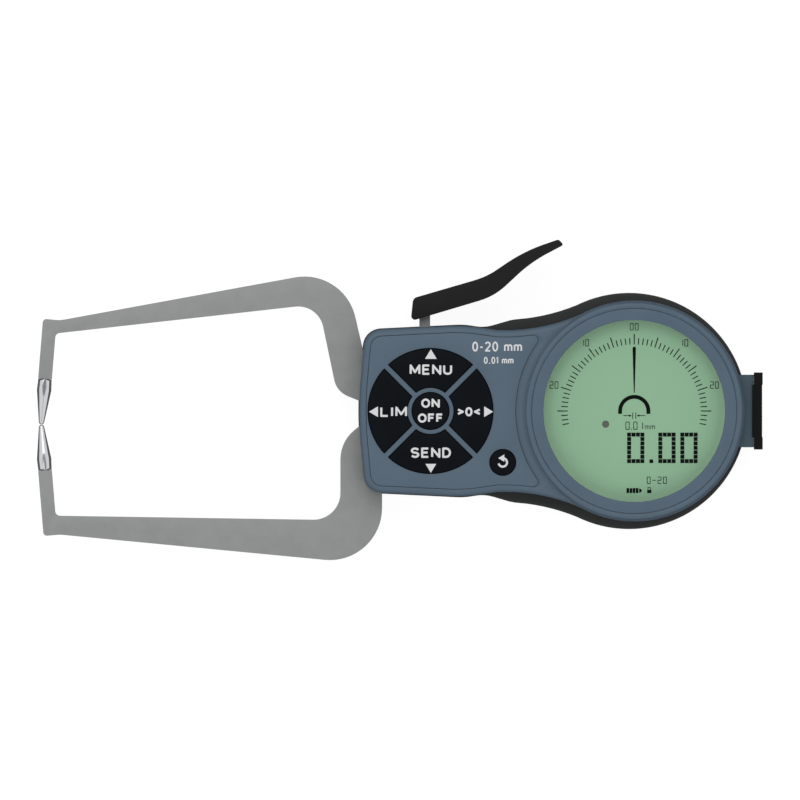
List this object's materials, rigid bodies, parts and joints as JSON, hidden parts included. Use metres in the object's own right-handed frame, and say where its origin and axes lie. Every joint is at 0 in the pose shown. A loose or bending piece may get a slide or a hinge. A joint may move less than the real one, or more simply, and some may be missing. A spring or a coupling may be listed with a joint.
{
  "type": "digital external caliper gauge",
  "caption": "Hand-held digital external caliper gauge with two plate arms, contact points, squeeze lever, keypad and round display.",
  "frame": {"origin": "on the flat back of the housing, under the pivot of the moving arm", "axes": "+X from the pivot to the centre of the display, +Y towards the squeeze lever, +Z out of the display"},
  "size_m": [0.1949, 0.0861, 0.024],
  "materials": {
    "black_plastic": "fine matte moulded",
    "blue_plastic": "satin moulded",
    "blue_foil": "fine textured skin",
    "key_black": "smooth satin",
    "port_blue": "satin moulded",
    "lever_plastic": "fine matte moulded",
    "cap_rubber": "matte",
    "black_rubber": "matte",
    "grey_aluminium": "matte anodised",
    "polished_steel": "polished",
    "steel": "machined",
    "plate_steel": "rolled",
    "spring_steel": "drawn",
    "cell_steel": "rolled",
    "brass": "machined",
    "board": "solder mask",
    "white_plastic": "moulded",
    "display_green": "matte reflective display",
    "clear_window": "clear",
    "display_ink": "display segments",
    "legend_ink": "screen print"
  },
  "bodies": {
    "housing": {"rear_shell": "black_plastic", "front_shell": "blue_plastic", "shell_gasket": "black_rubber", "case_screws": "steel", "chassis_plate": "plate_steel", "chassis_screws": "steel", "pivot_axle": "steel", "axle_nut": "steel", "bearing_spacers": "brass", "bearing_inner_race": "polished_steel", "fixed_arm": "grey_aluminium", "fixed_contact": "polished_steel", "fixed_arm_screws": "steel", "fixed_arm_dowels": "steel", "return_spring": "spring_steel", "spring_pin_fixed": "steel", "arm_stop": "steel", "encoder_head": "board", "main_board": "board", "key_domes": "spring_steel", "lcd_glass": "display_green", "lcd_frame": "white_plastic", "lcd_connector": "black_rubber", "display_window": "clear_window", "window_seal": "black_rubber", "display_bezel": "blue_plastic", "keypad_foil": "blue_foil", "buzzer": "black_plastic", "battery_cell": "cell_steel", "battery_contacts": "brass", "port_block": "port_blue", "port_pins": "brass"},
    "jaw_arm": {"moving_arm": "grey_aluminium", "moving_contact": "polished_steel", "lever": "lever_plastic", "lever_screws": "steel", "bearing_outer_race": "polished_steel", "encoder_scale": "brass", "spring_pin_moving": "steel"},
    "ball_cage": {"bearing_balls": "polished_steel", "bearing_cage": "brass"},
    "key_mode_body": {"key_mode": "key_black"},
    "key_tol_body": {"key_tol": "key_black"},
    "key_data_body": {"key_data": "key_black"},
    "key_zero_body": {"key_zero": "key_black"},
    "key_ok_body": {"key_ok": "key_black"},
    "key_reset_body": {"key_reset": "key_black"},
    "battery_door": {"battery_lid": "black_plastic", "battery_seal": "black_rubber"},
    "port_cover": {"port_cap": "cap_rubber"}
  },
  "joints": [
    {"name": "jaw_open", "type": "hinge", "parent": "housing", "child": "jaw_arm", "pos_m": [0, 0, 0.01], "axis": [0, 0, -1], "range_deg": [0, 11.3], "stiffness_Nm_per_rad": 0.15, "springref_deg": -57.3, "deforming": ["return_spring"]},
    {"name": "cage_turn", "type": "hinge", "parent": "housing", "child": "ball_cage", "pos_m": [0, 0, 0.01], "axis": [0, 0, -1], "range_deg": [0, 6.6]},
    {"name": "key_mode_press", "type": "slide", "parent": "housing", "child": "key_mode_body", "axis": [0, 0, -1], "range_m": [0, 0.0004], "stiffness_N_per_m": 1500, "springref_m": -0.0006},
    {"name": "key_tol_press", "type": "slide", "parent": "housing", "child": "key_tol_body", "axis": [0, 0, -1], "range_m": [0, 0.0004], "stiffness_N_per_m": 1500, "springref_m": -0.0006},
    {"name": "key_data_press", "type": "slide", "parent": "housing", "child": "key_data_body", "axis": [0, 0, -1], "range_m": [0, 0.0004], "stiffness_N_per_m": 1500, "springref_m": -0.0006},
    {"name": "key_zero_press", "type": "slide", "parent": "housing", "child": "key_zero_body", "axis": [0, 0, -1], "range_m": [0, 0.0004], "stiffness_N_per_m": 1500, "springref_m": -0.0006},
    {"name": "key_ok_press", "type": "slide", "parent": "housing", "child": "key_ok_body", "axis": [0, 0, -1], "range_m": [0, 0.0004], "stiffness_N_per_m": 1500, "springref_m": -0.0006},
    {"name": "key_reset_press", "type": "slide", "parent": "housing", "child": "key_reset_body", "axis": [0, 0, -1], "range_m": [0, 0.0004], "stiffness_N_per_m": 1500, "springref_m": -0.0006},
    {"name": "battery_lid_turn", "type": "hinge", "parent": "housing", "child": "battery_door", "pos_m": [0.0533, 0, 0.001], "axis": [0, 0, -1], "range_deg": [0, 60]},
    {"name": "port_cap_pull", "type": "slide", "parent": "housing", "child": "port_cover", "axis": [1, 0, 0], "range_m": [0, 0.014]}
  ],
  "couplings": [
    {"joint": "cage_turn", "follows": "jaw_open", "ratio": 0.576}
  ]
}
